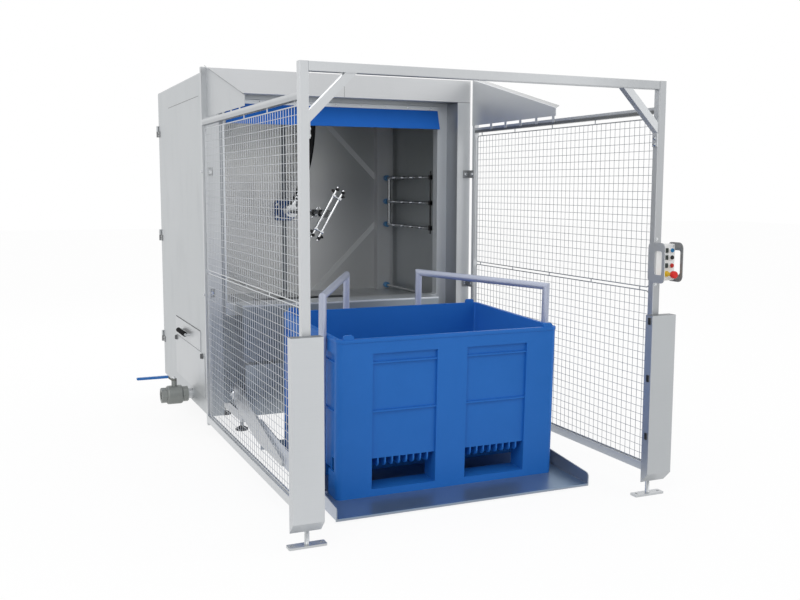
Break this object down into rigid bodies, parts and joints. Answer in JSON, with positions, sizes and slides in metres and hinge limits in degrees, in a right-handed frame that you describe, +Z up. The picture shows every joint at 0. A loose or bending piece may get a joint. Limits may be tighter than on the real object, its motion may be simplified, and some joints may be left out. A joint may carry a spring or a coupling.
{
  "type": "crate washer",
  "caption": "Crate washer with a stainless cabinet, tipping cradle holding a blue pallet box, rotating spray arm, mesh fences and a front portal.",
  "frame": {"origin": "on the floor, under the middle of the whole machine's box", "axes": "+X to the operator's right, +Y from the portal to the rear door, +Z up"},
  "size_m": [2.214, 3.532, 2.207],
  "materials": {
    "cabinet_steel": "satin stainless sheet",
    "frame_steel": "satin stainless tube",
    "mesh_steel": "bright welded wire",
    "deck_steel": "satin stainless plate",
    "hoop_steel": "satin stainless tube",
    "bright_steel": "polished stainless",
    "drive_grey": "satin paint",
    "crate_blue": "satin moulded polyethylene",
    "curtain_blue": "smooth rubber sheet",
    "fitting_blue": "moulded plastic",
    "hose_black": "smooth rubber",
    "pad_black": "moulded rubber",
    "valve_steel": "cast stainless",
    "lever_blue": "dipped plastic sleeve",
    "box_white": "moulded plastic",
    "guard_grey": "satin paint",
    "tile_black": "moulded plastic",
    "button_blue": "moulded plastic",
    "button_black": "moulded plastic",
    "button_red": "moulded plastic",
    "collar_yellow": "moulded plastic"
  },
  "bodies": {
    "machine": {"base_frame": "frame_steel", "levelling_feet": "pad_black", "tilt_bearings": "drive_grey", "tilt_gearmotor": "drive_grey", "left_side_panel": "cabinet_steel", "right_side_panel": "cabinet_steel", "roof_panel": "cabinet_steel", "front_lintel": "cabinet_steel", "door_jambs": "cabinet_steel", "inner_frame": "cabinet_steel", "sill_plate": "cabinet_steel", "lower_front_panel": "cabinet_steel", "chamber_floor": "cabinet_steel", "chamber_rear_wall": "cabinet_steel", "rear_wall_frame": "frame_steel", "wash_tank": "cabinet_steel", "wash_pump": "drive_grey", "side_spray_pipes": "bright_steel", "pipe_couplings": "fitting_blue", "bearing_housing": "fitting_blue", "rotary_union": "bright_steel", "feed_hose": "hose_black", "curtain_clamp": "frame_steel", "splash_curtain": "curtain_blue", "drain_pipe": "valve_steel", "drain_valve": "valve_steel", "lower_hatch": "cabinet_steel", "rear_hinges": "bright_steel", "left_fence_frame": "frame_steel", "right_fence_frame": "frame_steel", "left_mesh_panels": "mesh_steel", "right_mesh_panels": "mesh_steel", "fence_clamps": "frame_steel", "wing_plates": "cabinet_steel", "portal_posts": "frame_steel", "portal_beam": "frame_steel", "knee_braces": "frame_steel", "light_curtain_covers": "cabinet_steel", "portal_feet": "bright_steel", "control_bracket": "frame_steel", "control_box": "box_white", "control_guard": "guard_grey", "indicator_tiles": "tile_black", "e_stop_collar": "collar_yellow"},
    "cradle": {"platform_deck": "deck_steel", "cradle_arms": "frame_steel", "tilt_shaft": "bright_steel", "cradle_hoops": "hoop_steel", "crate": "crate_blue"},
    "spray_rotor": {"spray_shaft": "bright_steel", "spray_arm": "bright_steel"},
    "drain_lever": {"valve_lever": "lever_blue"},
    "drawer": {"filter_drawer": "cabinet_steel"},
    "rear_door": {"service_door": "cabinet_steel"},
    "latch_front": {"front_latch": "guard_grey"},
    "latch_rear": {"rear_latch": "guard_grey"},
    "button_blue": {"blue_button": "button_blue"},
    "button_black": {"black_button": "button_black"},
    "button_red": {"red_button": "button_red"},
    "e_stop": {"e_stop_button": "button_red"}
  },
  "joints": [
    {"name": "cradle_tilt", "type": "hinge", "parent": "machine", "child": "cradle", "pos_m": [0.123, 0.349, 0.243], "axis": [-1, 0, 0], "range_deg": [0, 92], "deforming": ["splash_curtain"]},
    {"name": "spray_spin", "type": "hinge", "parent": "machine", "child": "spray_rotor", "pos_m": [0.123, 0.584, 1.342], "axis": [0, 1, 0], "continuous": true},
    {"name": "valve_turn", "type": "hinge", "parent": "machine", "child": "drain_lever", "pos_m": [-0.872, 0.754, 0.272], "axis": [0, 0, 1], "range_deg": [0, 90]},
    {"name": "drawer_slide", "type": "slide", "parent": "machine", "child": "drawer", "axis": [-1, 0, 0], "range_m": [0, 0.45]},
    {"name": "door_swing", "type": "hinge", "parent": "machine", "child": "rear_door", "pos_m": [-0.765, 1.758, 1.165], "axis": [0, 0, 1], "range_deg": [0, 110]},
    {"name": "front_latch_turn", "type": "hinge", "parent": "machine", "child": "latch_front", "pos_m": [-0.761, 0.388, 0.484], "axis": [1, 0, 0], "range_deg": [0, 90]},
    {"name": "rear_latch_turn", "type": "hinge", "parent": "machine", "child": "latch_rear", "pos_m": [-0.761, 1.212, 0.484], "axis": [1, 0, 0], "range_deg": [0, 90]},
    {"name": "blue_button_push", "type": "slide", "parent": "machine", "child": "button_blue", "axis": [0, 1, 0], "range_m": [0, 0.004], "stiffness_N_per_m": 400},
    {"name": "black_button_push", "type": "slide", "parent": "machine", "child": "button_black", "axis": [0, 1, 0], "range_m": [0, 0.004], "stiffness_N_per_m": 400},
    {"name": "red_button_push", "type": "slide", "parent": "machine", "child": "button_red", "axis": [0, 1, 0], "range_m": [0, 0.004], "stiffness_N_per_m": 400},
    {"name": "e_stop_push", "type": "slide", "parent": "machine", "child": "e_stop", "axis": [0, 1, 0], "range_m": [0, 0.006], "stiffness_N_per_m": 800}
  ]
}
